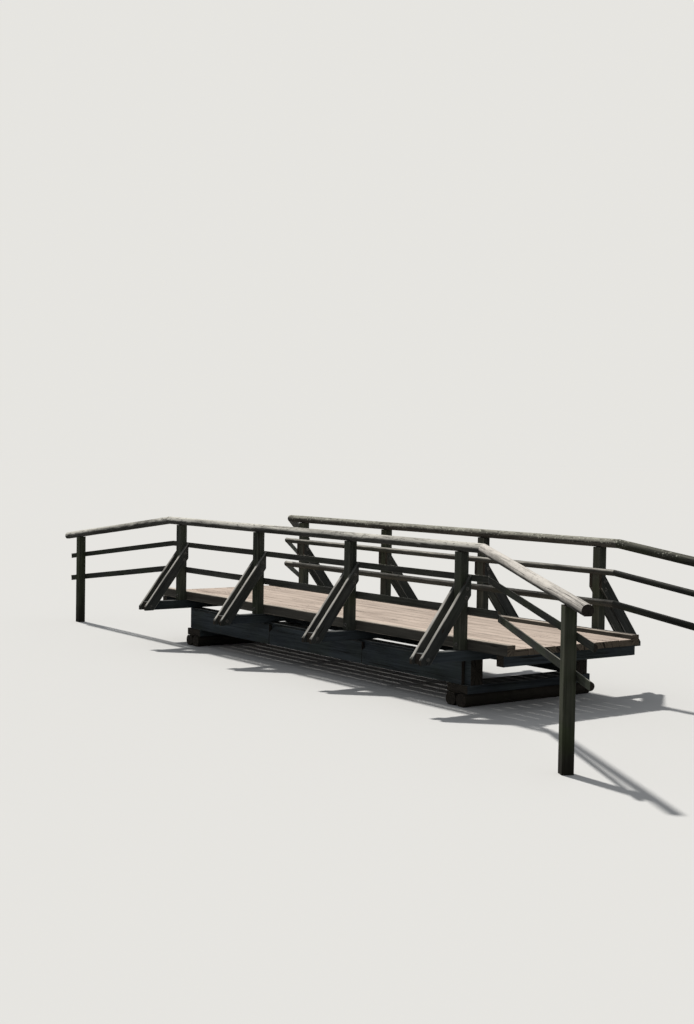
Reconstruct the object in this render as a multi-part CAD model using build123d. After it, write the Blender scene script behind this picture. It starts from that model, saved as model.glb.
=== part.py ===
from build123d import *
from math import atan, cos, radians, sin
import os

# All lengths are in millimetres. X runs along the bridge, Y across it and Z up.
# Z is 0 where the abutments and the wing posts meet the ground.

# Overall layout
bay_count = 3
bay_length = 2130.0
rail_line = 1100.0
deck_top = 800.0
deck_overrun = 725.0
arris = 5.0
joint_gap = 0.3

# Squared timbers
post_size = 120.0
cross_depth = 125.0
cross_half_length = 1700.0
edge_width = 120.0
bearer_inset = 60.0

# Deck planks
plank_count = 9
plank_gap = 7.0
kerb_height = 50.0

# Main beams below the crossbeams
beam_depth = 300.0
beam_width = 180.0
face_thick = 50.0
face_recess = 60.0
face_gap = 6.0
face_drop = 20.0
face_end_short = 105.0
face_joint_past = 45.0
notch_length = 180.0
notch_depth = 105.0

# Abutments
sill_depth = 100.0
sill_width = 360.0
log_flat = 14.0
log_reach = 20.0

# Round top rail
top_rail_height = 1100.0
top_rail_radius = 60.0
rail_seat = 8.0

# Half-round middle and lower rails, which lie with the flat side on the posts
mid_rail_top = 735.0
mid_rail_depth = 80.0
low_rail_top = 366.0
low_rail_depth = 89.0
low_rail_overrun = 555.0
low_rail_step = 35.0

# Twin plank braces, as the height of their upper edge and how far its foot passes the crossbeam
brace_thick = 45.0
brace_width = 145.0
brace_top = 727.0
brace_foot_past = 45.0
brace_foot_level = -190.0

# Wings: signs of X and Y, place of the bend past the last post, angle outwards in degrees,
# and falls of the top, middle and lowest rail in each unit of length
rails = ("top", "middle", "lowest")
wing_length = 3570.0
wing_post_inset = 524.0
long_bend = 365.0
short_bend = 315.0
wings = {
    "near_right": (1, -1, long_bend, 26.6, (0.086, 0.080, 0.065)),
    "far_right": (1, 1, short_bend, 0.0, (0.118, 0.118, 0.118)),
    "near_left": (-1, -1, long_bend, 0.0, (0.118, 0.118, 0.118)),
    "far_left": (-1, 1, long_bend, 38.4, (0.15, 0.15, 0.15)),
}

# At this corner the lowest rails don't meet in a mitre: the straight one runs on past the bend
# and ends square, and the wing's one starts there, a little lower
butt_corner = "near_right"

# Heights and lines that follow from the sizes above
wing_post_at = wing_length - wing_post_inset
half_post = post_size / 2
inner_line = rail_line - half_post
outer_line = rail_line + half_post
cross_top = deck_top - cross_depth
beam_top = cross_top - cross_depth
beam_bottom = beam_top - beam_depth
sill_bottom = beam_bottom - sill_depth
face_line = inner_line - face_recess
brace_foot_reach = cross_half_length + brace_foot_past
log_spacing = sill_width / 2
plank_top = deck_top - kerb_height
rail_axis = deck_top + top_rail_height - top_rail_radius
post_top = rail_axis - top_rail_radius + rail_seat
rail_heights = (rail_axis, deck_top + mid_rail_top, deck_top + low_rail_top)
post_line_x = [(i - bay_count / 2) * bay_length for i in range(bay_count + 1)]
beam_half_length = post_line_x[-1]
deck_half_length = beam_half_length + deck_overrun
low_rail_reach = beam_half_length + low_rail_overrun


def timber(x0, x1, y0, y1, z0, z1):
    """A squared timber between the given limits, with its arrises taken off."""
    block = Box(x1 - x0, y1 - y0, z1 - z0)
    block = chamfer(block.edges(), arris)
    return Pos((x0 + x1) / 2, (y0 + y1) / 2, (z0 + z1) / 2) * block


pieces = {}


def save(name, *solids):
    """Keeps one named piece, which may hold several solids."""
    pieces[name] = list(solids)


def ordered(a, b):
    return (a, b) if a < b else (b, a)


def side_timber(x0, x1, side, y_inner, y_outer, z0, z1):
    """A timber that lies on one side of the bridge."""
    y0, y1 = ordered(side * y_inner, side * y_outer)
    return timber(x0, x1, y0, y1, z0, z1)


def sloping(level, fall):
    """Direction of a rail that falls along a level direction, and the level normal to its left."""
    slope = atan(fall)
    along = Vector(level.X * cos(slope), level.Y * cos(slope), -sin(slope))
    return along, Vector(-level.Y, level.X, 0)


def wing_axes(name, rail="top"):
    """Bend point, level direction, sloping direction and left normal of a wing's rail."""
    sign_x, sign_y, bend, splay, falls = wings[name]
    turn = radians(splay)
    level = Vector(sign_x * cos(turn), sign_y * sin(turn), 0)
    along, left = sloping(level, falls[rails.index(rail)])
    start = Vector(sign_x * (beam_half_length + bend), sign_y * rail_line, 0)
    return start, level, along, left


def pole():
    """Section of the round top rail, flat where it sits on the posts."""
    flat = top_rail_radius - rail_seat
    cut = Pos(0, -flat - top_rail_radius) * Rectangle(4 * top_rail_radius, 2 * top_rail_radius)
    return Circle(top_rail_radius) - cut


def half_pole(side, depth):
    """Section of a half-round rail that hangs from its top on the inner faces of the posts."""
    radius = depth / 2
    half = Pos(side * radius / 2, 0) * Rectangle(radius, depth)
    return Pos(side * half_post, -radius) * (Circle(radius) & half)


def rail_section(rail, side):
    """Section of a rail. The half-round ones lie on the given side of the line of posts."""
    if rail == "top":
        return pole()
    return half_pole(side, mid_rail_depth if rail == "middle" else low_rail_depth)


def mitre(name, rail):
    """Plane that halves the bend between a straight rail and its wing.

    The round rail's one leans with the slope, and the half-round ones' are upright.
    """
    start, level, along, _ = wing_axes(name, rail)
    straight = Vector(wings[name][0], 0, 0)
    normal = straight + (along if rail == "top" else level)
    return Plane(origin=(start.X, start.Y, rail_heights[rails.index(rail)]), z_dir=normal)


def level_rail(side, reach, section, height):
    """A level rail along one side, square at both ends."""
    base = Plane(origin=(-reach, side * rail_line, height), x_dir=(0, 1, 0), z_dir=(1, 0, 0))
    return extrude(base * section, amount=2 * reach)


def square_end(name):
    """Plane across the end of a straight rail that doesn't turn into its wing."""
    sign_x = wings[name][0]
    return Plane(origin=(sign_x * low_rail_reach, 0, 0), z_dir=(sign_x, 0, 0))


def bent_rail(word, side, rail):
    """A level rail whose ends are mitred to meet the wings of its side, or square at a butt."""
    height = rail_heights[rails.index(rail)]
    bar = level_rail(side, beam_half_length + wing_length, rail_section(rail, -side), height)
    for name in (word + "_right", word + "_left"):
        butts = name == butt_corner and rail == "lowest"
        end = square_end(name) if butts else mitre(name, rail)
        bar = split(bar, bisect_by=end, keep=Keep.BOTTOM)
    return bar


def wing_rail(name, rail):
    """A sloping rail that runs out from the mitre to its square end."""
    if name == butt_corner and rail == "lowest":
        return butted_wing_rail(name)
    start, _, along, left = wing_axes(name, rail)
    sign_x, sign_y = wings[name][:2]
    overrun = wing_length / 10
    origin = Vector(start.X, start.Y, rail_heights[rails.index(rail)]) - along * overrun
    base = Plane(origin=origin, x_dir=left, z_dir=along)
    section = rail_section(rail, -sign_x * sign_y)
    bar = extrude(base * section, amount=wing_length + overrun)
    cut = mitre(name, rail)
    cut.origin = cut.origin + cut.z_dir * joint_gap
    return split(bar, bisect_by=cut, keep=Keep.TOP)


def butted_wing_rail(name):
    """The lowest rail of a wing, from the square end of the straight one past the wing post.

    It starts beyond the bend of the other rails, so it lies askew to the post and bears on
    one of its corners: the outer one where the wing turns outwards, or else the inner one.
    """
    sign_x, sign_y, _, splay, falls = wings[name]
    start, level, _, left = wing_axes(name)
    inward = left * (-sign_x * sign_y)
    bearing = half_post if splay > 0 else -half_post
    corner = start + level * (wing_post_at + bearing) + inward * half_post
    end = Vector(sign_x * low_rail_reach, sign_y * inner_line, 0)
    run = (corner - end).normalized()
    along, skew_left = sloping(run, falls[rails.index("lowest")])
    origin = end - skew_left * (-sign_x * sign_y) * half_post
    origin = origin + Vector(0, 0, deck_top + low_rail_top - low_rail_step) - along * half_post
    total = wing_length - (low_rail_reach - abs(start.X)) + half_post
    base = Plane(origin=origin, x_dir=skew_left, z_dir=along)
    bar = extrude(base * rail_section("lowest", -sign_x * sign_y), amount=total)
    cut = Plane(origin=(end.X + sign_x * joint_gap, end.Y, 0), z_dir=(sign_x, 0, 0))
    return split(bar, bisect_by=cut, keep=Keep.TOP)


def wing_post(name):
    """A square post from the ground to the underside of the sloping top rail."""
    start, level, along, left = wing_axes(name)
    foot = start + level * wing_post_at
    base = Plane(origin=foot, x_dir=level, z_dir=(0, 0, 1))
    section = chamfer(Rectangle(post_size, post_size).vertices(), arris)
    post = extrude(base * section, amount=rail_axis)
    up = along.cross(left)
    under = Vector(start.X, start.Y, rail_axis) - up * (top_rail_radius - rail_seat)
    return split(post, bisect_by=Plane(origin=under, z_dir=up), keep=Keep.BOTTOM)


def brace_pair(x, side):
    """Two planks that clasp a post above and the end of a crossbeam below."""
    rise = brace_top - brace_foot_level
    run = brace_foot_reach - inner_line
    steep = rise / run
    drop = brace_width * (1 + steep * steep) ** 0.5
    foot = deck_top - cross_depth * 2
    low_reach = inner_line + (deck_top + brace_top - drop - foot) / steep
    corners = [
        (side * inner_line, deck_top + brace_top),
        (side * brace_foot_reach, deck_top + brace_foot_level),
        (side * brace_foot_reach, foot),
        (side * low_reach, foot),
        (side * inner_line, deck_top + brace_top - drop),
    ]
    pair = []
    for offset in (-half_post - brace_thick, half_post):
        base = Plane(origin=(x + offset, 0, 0), x_dir=(0, 1, 0), z_dir=(1, 0, 0))
        face = base * make_face(Polyline(*corners, close=True))
        pair.append(extrude(face, amount=brace_thick))
    return pair


def face_board(x0, x1, side, notched):
    """A board on the outside of a main beam, its upper corner cut away beside a crossbeam."""
    top = beam_top - face_drop
    board = side_timber(x0, x1, side, face_line - face_thick, face_line, beam_bottom, top)
    if not notched:
        return board
    wedge = [(x0, top), (x0 + notch_length, top), (x0, top - notch_depth)]
    base = Plane(origin=(0, side * (face_line - 2 * face_thick), 0), x_dir=(1, 0, 0), z_dir=(0, -1, 0))
    face = base * make_face(Polyline(*wedge, close=True))
    return board - extrude(face, amount=2 * face_line, both=True)


def log(x):
    """A round log across the abutment, hewn flat above and below."""
    radius = sill_bottom / 2 + log_flat
    square = Rectangle(4 * radius, sill_bottom)
    section = Circle(radius) & square
    reach = face_line + log_reach
    base = Plane(origin=(x, -reach, sill_bottom / 2), x_dir=(1, 0, 0), z_dir=(0, 1, 0))
    return extrude(base * section, amount=2 * reach)


# Abutments at both ends
for word, sign in (("left", -1), ("right", 1)):
    sill_centre = sign * (beam_half_length - sill_width / 2)
    save(
        "sill_" + word,
        timber(
            sill_centre - sill_width / 2,
            sill_centre + sill_width / 2,
            -face_line,
            face_line,
            sill_bottom,
            beam_bottom,
        ),
    )
    save(
        "logs_" + word,
        log(sill_centre - log_spacing / 2),
        log(sill_centre + log_spacing / 2),
    )

# Main beams and the boards on their outer faces
for word, side in (("near", -1), ("far", 1)):
    save(
        "main_beam_" + word,
        side_timber(
            -beam_half_length,
            beam_half_length,
            side,
            face_line - face_thick - beam_width,
            face_line - face_thick,
            beam_bottom,
            beam_top,
        ),
    )
    joints = [-beam_half_length + face_end_short]
    joints += [x + half_post + face_joint_past for x in post_line_x[1:-1]]
    joints += [beam_half_length - face_end_short]
    boards = []
    for i in range(bay_count):
        x0 = joints[i] + (face_gap / 2 if i else 0)
        x1 = joints[i + 1] - (face_gap / 2 if i < bay_count - 1 else 0)
        boards.append(face_board(x0, x1, side, i > 0))
    save("face_boards_" + word, *boards)

# Crossbeams, which reach out past the deck to the feet of the braces
for i, x in enumerate(post_line_x):
    save(
        "crossbeam_" + str(i + 1),
        timber(
            x - half_post,
            x + half_post,
            -cross_half_length,
            cross_half_length,
            beam_top,
            cross_top,
        ),
    )

# Bearers under the two ends of the deck
bearers = []
for sign in (-1, 1):
    x0, x1 = ordered(
        sign * (deck_half_length - bearer_inset - post_size),
        sign * (deck_half_length - bearer_inset),
    )
    bearers.append(timber(x0, x1, -inner_line, inner_line, beam_top, cross_top))
save("end_bearers", *bearers)

# Edge timbers and the planks that lie between them
for word, side in (("near", -1), ("far", 1)):
    save(
        "edge_timber_" + word,
        side_timber(
            -deck_half_length,
            deck_half_length,
            side,
            inner_line - edge_width,
            inner_line,
            cross_top,
            deck_top,
        ),
    )
deck_width = 2 * (inner_line - edge_width)
plank_pitch = deck_width / plank_count
planks = []
for i in range(plank_count):
    y0 = -deck_width / 2 + i * plank_pitch + plank_gap / 2
    y1 = y0 + plank_pitch - plank_gap
    planks.append(timber(-deck_half_length, deck_half_length, y0, y1, cross_top, plank_top))
save("deck_planks", *planks)

# Posts and braces
for word, side in (("near", -1), ("far", 1)):
    for i, x in enumerate(post_line_x):
        number = str(i + 1)
        save(
            "post_" + word + "_" + number,
            side_timber(
                x - half_post, x + half_post, side, inner_line, outer_line, cross_top, post_top
            ),
        )
        save("braces_" + word + "_" + number, *brace_pair(x, side))

# Rails along the bridge, which turn into the wings
for word, side in (("near", -1), ("far", 1)):
    top, *lower = [bent_rail(word, side, rail) for rail in rails]
    save("top_rail_" + word, top)
    save("lower_rails_" + word, *lower)

# Sloping wings at the four corners
for name in wings:
    save("wing_post_" + name, wing_post(name))
    top, *lower = [wing_rail(name, rail) for rail in rails]
    save("wing_top_rail_" + name, top)
    save("wing_lower_rails_" + name, *lower)

# The origin is the middle of the footprint, on the ground
whole = Compound([solid for group in pieces.values() for solid in group]).bounding_box()
centre = whole.center()
home = Pos(-centre.X, -centre.Y, -whole.min.Z)
os.makedirs("parts", exist_ok=True)
for name, group in pieces.items():
    moved = [home * solid for solid in group]
    shape = moved[0] if len(moved) == 1 else Compound(children=moved)
    export_step(shape, os.path.join("parts", name + ".step"))
print("moved by", round(-centre.X, 2), round(-centre.Y, 2), round(-whole.min.Z, 2))
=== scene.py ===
import math
import random

import bmesh
import bpy
import numpy as np
from mathutils import Matrix, Vector


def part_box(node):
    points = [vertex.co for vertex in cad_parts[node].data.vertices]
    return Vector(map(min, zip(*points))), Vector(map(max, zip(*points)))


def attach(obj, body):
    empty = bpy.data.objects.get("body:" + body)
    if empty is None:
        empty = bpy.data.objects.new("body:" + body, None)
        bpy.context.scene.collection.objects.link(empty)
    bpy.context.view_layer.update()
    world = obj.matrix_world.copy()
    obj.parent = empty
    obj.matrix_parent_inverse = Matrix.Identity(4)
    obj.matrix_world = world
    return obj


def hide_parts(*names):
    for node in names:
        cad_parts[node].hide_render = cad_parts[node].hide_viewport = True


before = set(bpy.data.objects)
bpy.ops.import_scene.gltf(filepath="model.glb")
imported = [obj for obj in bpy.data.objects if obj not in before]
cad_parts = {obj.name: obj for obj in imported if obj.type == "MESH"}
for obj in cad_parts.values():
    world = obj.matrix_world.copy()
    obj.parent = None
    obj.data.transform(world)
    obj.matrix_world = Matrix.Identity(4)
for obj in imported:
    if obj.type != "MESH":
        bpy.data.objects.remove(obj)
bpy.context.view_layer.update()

# Round logs of the abutments
# Two logs lie crosswise under each end of the bridge, hewn flat above and below. They are
# barked spruce, dark with damp, with open drying cracks in their ends.

# reading a CAD node: how near points are merged, how far triangles of one flat face may
# turn, and how far a side's normal may lean to the run, at a rough look and truly
WELD = 1e-5
FLAT_WITHIN = math.radians(0.4)
ROUGH_SIDE = 0.1
TRUE_SIDE = 0.01


def cad_solids(node):
    """The separate solids of a CAD node, as points and flat faces (centre, normal, area).

    Here and below, a dict keeps elements in order, so that every run gives the same mesh.
    """
    bm = bmesh.new()
    bm.from_mesh(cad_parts[node].data)
    bmesh.ops.remove_doubles(bm, verts=bm.verts, dist=WELD)
    bmesh.ops.dissolve_limit(bm, angle_limit=FLAT_WITHIN, verts=bm.verts, edges=bm.edges)
    bm.normal_update()
    left = dict.fromkeys(bm.verts)
    found = []
    while left:
        stack = [left.popitem()[0]]
        island = list(stack)
        while stack:
            for edge in stack.pop().link_edges:
                for vert in edge.verts:
                    if vert in left:
                        del left[vert]
                        island.append(vert)
                        stack.append(vert)
        faces = dict.fromkeys(face for vert in island for face in vert.link_faces)
        edges = dict.fromkeys(edge for vert in island for edge in vert.link_edges)
        longest = max(edges, key=lambda e: e.calc_length())
        rough_run = np.array((longest.verts[1].co - longest.verts[0].co).normalized())
        sides = [f for f in faces if abs(np.array(f.normal) @ rough_run) < ROUGH_SIDE]
        spread = sum(f.calc_area() * np.outer(f.normal, f.normal) for f in sides)
        found.append({
            "points": np.array([v.co for v in island], float),
            "run": np.linalg.eigh(spread)[1][:, 0],
            "faces": [
                (np.array(f.calc_center_median()), np.array(f.normal), f.calc_area()) for f in faces
            ],
        })
    bm.free()
    found.sort(key=lambda s: tuple(np.round(s["points"].mean(axis=0), 3)))
    return found


# a turn no greater than this counts as none
STRAIGHT_ON = 1e-9


def hull(points):
    """Convex outline of flat points, anticlockwise."""
    ordered = sorted({(round(p[0], 4), round(p[1], 4)) for p in points})

    def half(sequence):
        chain = []
        for p in sequence:
            while len(chain) > 1:
                a, b = chain[-2], chain[-1]
                turn = (b[0] - a[0]) * (p[1] - a[1]) - (b[1] - a[1]) * (p[0] - a[0])
                if turn > STRAIGHT_ON:
                    break
                chain.pop()
            chain.append(p)
        return chain[:-1]

    return np.array(half(ordered) + half(ordered[::-1]))


# easing of a timber's outline: radius of its arrises, spacing of points round it, the
# least turn that is a corner, the most of a side that one corner takes, and the distance
# from the corner of a point that keeps the side beside it flat
ARRIS = 0.006
SIDE_STEP = 0.03
CORNER_FROM = math.radians(15)
MOST_OF_SIDE = 0.45
FLAT_FROM = 0.004


def eased(outline):
    """The outline with rounded corners and its long sides divided, and 1 for arris points."""
    count = len(outline)
    curve = []
    for i in range(count):
        before, here, after = outline[i - 1], outline[i], outline[(i + 1) % count]
        a, b = here - before, after - here
        la, lb = np.linalg.norm(a), np.linalg.norm(b)
        a, b = a / la, b / lb
        turn = math.acos(float(np.clip(a @ b, -1, 1)))
        if turn < CORNER_FROM:
            curve.append((here, 0.0))
            continue
        cut = min(ARRIS * math.tan(turn / 2), MOST_OF_SIDE * la, MOST_OF_SIDE * lb)
        start, end = here - a * cut, here + b * cut
        middle = here * 0.5 + (start + end) * 0.25
        if 0.5 * la - cut > 2 * FLAT_FROM:
            curve.append((start - a * FLAT_FROM, 0.0))
        curve += [(start, 1.0), (middle, 1.0), (end, 1.0)]
        if 0.5 * lb - cut > 2 * FLAT_FROM:
            curve.append((end + b * FLAT_FROM, 0.0))
    points, arris = [], []
    for i, (p, mark) in enumerate(curve):
        q = curve[(i + 1) % len(curve)][0]
        parts = max(1, int(np.linalg.norm(q - p) / SIDE_STEP))
        points += [p + (q - p) * k / parts for k in range(parts)]
        arris += [mark] + [0.0] * (parts - 1)
    return np.array(points), arris


def section_frame(solid):
    """Directions across a solid: its broadest side's normal, and the one square to it."""
    run = solid["run"]
    if run[np.argmax(np.abs(run))] < 0:
        run = -run
    sides = [(area, normal) for _, normal, area in solid["faces"] if abs(normal @ run) < TRUE_SIDE]
    _, broad = max(sides, key=lambda s: (round(s[0], 5), tuple(np.round(s[1], 3))))
    across = np.cross(run, broad)
    return run, broad, across / np.linalg.norm(across)


def waves(rng, count, low, high):
    """A few sine waves with wavelengths between two limits, as amplitude, rate and phase."""
    return [
        (rng.uniform(0.5, 1.0), 2 * math.pi / rng.uniform(low, high), rng.uniform(0, 2 * math.pi))
        for _ in range(count)
    ]


def swing(terms, t):
    """Sum of sine waves at t, between about -1 and 1."""
    total = sum(a for a, _, _ in terms)
    return sum(a * np.sin(rate * t + phase) for a, rate, phase in terms) / total


def layer(group, name):
    """A mesh's own layer of values on its points, made when it isn't there yet."""
    return group.get(name) or group.new(name)


# sweeping a timber: spacing of its rings of points, wavelengths of its bows and of the
# unevenness of its sides, how far its grain is shifted across and along, how far the normal
# of an end leans to the run at least, and how near a cut a point lies on it
RING_STEP = 0.05
BOW_WAVES = (1.5, 5.0)
UNEVEN_WAVES = (0.07, 0.6)
SHIFT_ACROSS = 9
SHIFT_ALONG = 90
END_FROM = 0.2
ON_THE_CUT = 1e-6


def sweep(solid, bm, rng, bow=0.0015, rough=0.0006, pith=(0.0, 0.0), off_pith=0.02):
    """Adds one long timber in the place of a CAD solid, cut off by the solid's end planes.

    The grain layer gives each point's place in the timber: two ways across, from the pith,
    and one along, shifted at random, so that no two timbers show the same figure. The pith
    is given in half widths from the middle, and may lie off that by a little.
    """
    # every layer is made before any is used, because a new one moves the others
    layer(bm.verts.layers.float_vector, "grain")
    layer(bm.verts.layers.float, "tone")
    layer(bm.verts.layers.float, "arris")
    grain = bm.verts.layers.float_vector["grain"]
    tone, corner = bm.verts.layers.float["tone"], bm.verts.layers.float["arris"]
    run, broad, across = section_frame(solid)
    points = solid["points"]
    flat = np.stack([points @ broad, points @ across], axis=1)
    profile, arris = eased(hull(flat))
    middle = (profile.min(axis=0) + profile.max(axis=0)) / 2
    half = (profile.max(axis=0) - profile.min(axis=0)) / 2
    lengths = points @ run
    beyond = 3 * float(half.max())
    low, high = lengths.min() - beyond, lengths.max() + beyond
    rings = max(2, int((high - low) / RING_STEP))
    stations = np.linspace(low, high, rings + 1)
    sides = [waves(rng, 3, *BOW_WAVES) for _ in range(2)]
    ripple = [waves(rng, 4, *UNEVEN_WAVES) for _ in profile]
    outward = profile - middle
    outward = outward / np.linalg.norm(outward, axis=1)[:, None]
    aside = [
        rng.randrange(-SHIFT_ACROSS, SHIFT_ACROSS) + rng.uniform(-off_pith, off_pith) - pith[k] * half[k]
        for k in (0, 1)
    ]
    offset = Vector((aside[0], aside[1], rng.uniform(-SHIFT_ALONG, SHIFT_ALONG)))
    shade = rng.random()
    rows = []
    for t in stations:
        sway = bow * np.array([swing(sides[0], t), swing(sides[1], t)])
        wear = np.array([swing(terms, t) for terms in ripple])
        ring = profile + sway - outward * (bow + rough * (1 + wear))[:, None]
        row = []
        for p, clean, mark in zip(ring, profile, arris):
            vert = bm.verts.new(run * t + broad * p[0] + across * p[1])
            local = clean - middle
            vert[grain] = Vector((local[0], local[1], t)) + offset
            vert[tone] = shade
            vert[corner] = mark
            row.append(vert)
        rows.append(row)
    count = len(profile)
    made = []
    for i in range(rings):
        for k in range(count):
            after = (k + 1) % count
            quad = (rows[i][k], rows[i][after], rows[i + 1][after], rows[i + 1][k])
            made.append(bm.faces.new(quad))
    for face in made:
        face.smooth = True
    geometry = [v for row in rows for v in row] + made
    geometry += dict.fromkeys(e for f in made for e in f.edges)
    ends = {}
    for centre, normal, area in solid["faces"]:
        if abs(normal @ run) > END_FROM:
            ends.setdefault(tuple(np.round(normal, 3)), (centre, normal))
    # the squarest planes cut first, so that each later one, an arris or a notch, meets a
    # closed end
    for centre, normal in sorted(ends.values(), key=lambda end: -round(abs(end[1] @ run), 4)):
        alive = [g for g in geometry if g.is_valid]
        cut = bmesh.ops.bisect_plane(
            bm, geom=alive, dist=ON_THE_CUT, plane_co=centre, plane_no=normal, clear_outer=True
        )
        rim = [e for e in cut["geom_cut"] if isinstance(e, bmesh.types.BMEdge)]
        cap = bmesh.ops.edgeloop_fill(bm, edges=rim)["faces"]
        for face in cap:
            face.material_index = 1
            face.smooth = False
        geometry = list(dict.fromkeys(g for g in alive + cut["geom"] + cap if g.is_valid))


SHARP_FROM = math.radians(38)


def timber_object(name, bm, side, end):
    """Makes the swept timbers one object with side and end grain materials."""
    bmesh.ops.recalc_face_normals(bm, faces=bm.faces)
    mesh = bpy.data.meshes.new(name)
    bm.to_mesh(mesh)
    bm.free()
    mesh.materials.append(side)
    mesh.materials.append(end)
    mesh.set_sharp_from_angle(angle=SHARP_FROM)
    piece = bpy.data.objects.new(name, mesh)
    bpy.context.collection.objects.link(piece)
    return piece


def rebuild(node, seed, side, end, slot, **how):
    """Makes a Blender piece that stands for a CAD node, timber by timber."""
    rng = random.Random(seed)
    bm = bmesh.new()
    for solid in cad_solids(node):
        sweep(solid, bm, rng, **how)
    piece = timber_object(node + "_wood", bm, side, end)
    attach(piece, "root")
    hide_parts(node)


class Nodes:
    """Short calls for building a tree of nodes."""

    def __init__(self, tree):
        self.tree = tree
        tree.nodes.clear()

    def add(self, kind, *values, out=0, **settings):
        """Adds a node. Values fill its inputs in order; None leaves one alone."""
        node = self.tree.nodes.new(kind)
        for key, value in settings.items():
            setattr(node, key, value)
        for socket, value in zip([s for s in node.inputs if s.enabled], values):
            self.give(socket, value)
        return [s for s in node.outputs if s.enabled][out]

    def give(self, socket, value):
        """Links another node's output to an input, or sets the input to a plain value."""
        if isinstance(value, bpy.types.NodeSocket):
            self.tree.links.new(value, socket)
        elif value is not None:
            socket.default_value = value

    def maths(self, operation, a, b=None, c=None):
        return self.add("ShaderNodeMath", a, b, c, operation=operation)

    def spread(self, value, low, high, to_low=0.0, to_high=1.0, smooth=True):
        """Maps a value between two limits to another range, clamped."""
        kind = "SMOOTHSTEP" if smooth else "LINEAR"
        return self.add(
            "ShaderNodeMapRange", value, low, high, to_low, to_high, interpolation_type=kind, clamp=True
        )

    def mix(self, factor, a, b, blend="MIX"):
        return self.add("ShaderNodeMix", factor, a, b, data_type="RGBA", blend_type=blend)

    def stretched(self, place, across, along):
        """The place with its two cross directions and its length scaled."""
        return self.add("ShaderNodeVectorMath", place, (across, across, along), operation="MULTIPLY")

    def noise(self, place, scale=1.0, detail=4.0, rough=0.55, distort=0.0):
        return self.add("ShaderNodeTexNoise", place, scale, detail, rough, None, distort)

    def cells(self, place, out=0):
        """Distance to the nearest of many scattered points, or that point's own colour."""
        return self.add("ShaderNodeTexVoronoi", place, 1.0, out=out)

    def surface(self, colour, roughness, height, depth, relief=0.7, specular=0.12, metallic=0.0):
        """Ends a material in one shader with a relief of the given depth in metres."""
        bump = self.add("ShaderNodeBump", relief, depth)
        self.give(bump.node.inputs["Height"], height)
        shader = self.tree.nodes.new("ShaderNodeBsdfPrincipled")
        self.give(shader.inputs["Base Color"], colour)
        self.give(shader.inputs["Roughness"], roughness)
        shader.inputs["Specular IOR Level"].default_value = specular
        shader.inputs["Metallic"].default_value = metallic
        self.give(shader.inputs["Normal"], bump)
        output = self.tree.nodes.new("ShaderNodeOutputMaterial")
        self.give(output.inputs["Surface"], shader.outputs[0])


def new_material(name):
    """An empty material and the short calls for its tree."""
    material = bpy.data.materials.new(name)
    material.use_nodes = True
    return material, Nodes(material.node_tree)


def linear(red, green, blue):
    """A colour given in the 0 to 255 values of a picture, as linear light."""
    return tuple(
        c / 12.92 if c <= 0.04045 else ((c + 0.055) / 1.055) ** 2.4
        for c in (red / 255, green / 255, blue / 255)
    ) + (1.0,)


# how often each feature of the wood comes in a metre, across the grain and along it
FIBRES = (220.0, 4.0)
BANDS = (46.0, 0.9)
PATCHES = (6.0, 1.1)
BLEACHED_PATCHES = (9.0, 2.2)
FLECKS = (34.0, 12.0)
KNOTS = (5.2, 2.1)
CRACKS = (17.0, 0.35)
CRACKED_PATCHES = (3.0, 0.8)
# how often the films and spots on it come in a metre, whichever way it lies
ALGAE_FILMS = 2.2
LICHEN_PATCHES = 3.4
LICHEN_SPOTS = 30.0
LICHEN_RAGS = 85.0
DAMP_EDGES = 7.0
# closeness of the rings in a knot, half the width of a painted shadow's edge, and depth of
# the relief
KNOT_RINGS = 420.0
PAINTED_SHADOW_EDGE = 0.015
WOOD_RELIEF = 0.0022
# colours of what is in the wood or on it, and the way towards the sun
ALGAE_GREEN = linear(62, 72, 44)
LICHEN_PALE = linear(206, 208, 192)
KNOT_BROWN = linear(50, 40, 32)
CRACK_BLACK = linear(20, 18, 17)
DAMP_EARTH = linear(34, 31, 27)
SUNNY_SIDE = Vector((-0.72, 0.05, 1.0)).normalized()


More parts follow.
